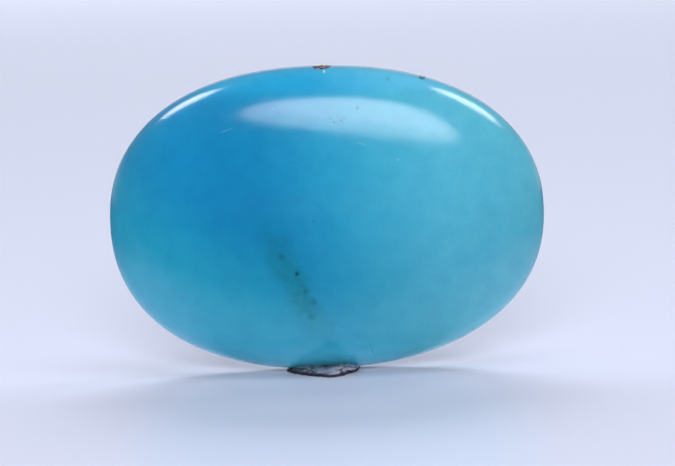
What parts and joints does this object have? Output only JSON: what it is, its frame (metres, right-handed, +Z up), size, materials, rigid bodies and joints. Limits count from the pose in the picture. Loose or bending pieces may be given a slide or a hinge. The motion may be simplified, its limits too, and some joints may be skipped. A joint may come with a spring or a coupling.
{
  "type": "turquoise cabochon",
  "caption": "Polished oval turquoise cabochon with a domed face and a flat back, standing on a worn foot of grey host rock.",
  "frame": {"origin": "centre of the stone's bounding box at the level of the floor it stands on", "axes": "+Z up, +X along the oval's long axis, to the right as seen from the front, +Y out of the flat back, so the dome faces -Y"},
  "size_m": [0.018, 0.0058, 0.0127],
  "materials": {
    "turquoise": "polished"
  },
  "bodies": {
    "root": {"turquoise_cabochon": "turquoise"}
  },
  "joints": []
}
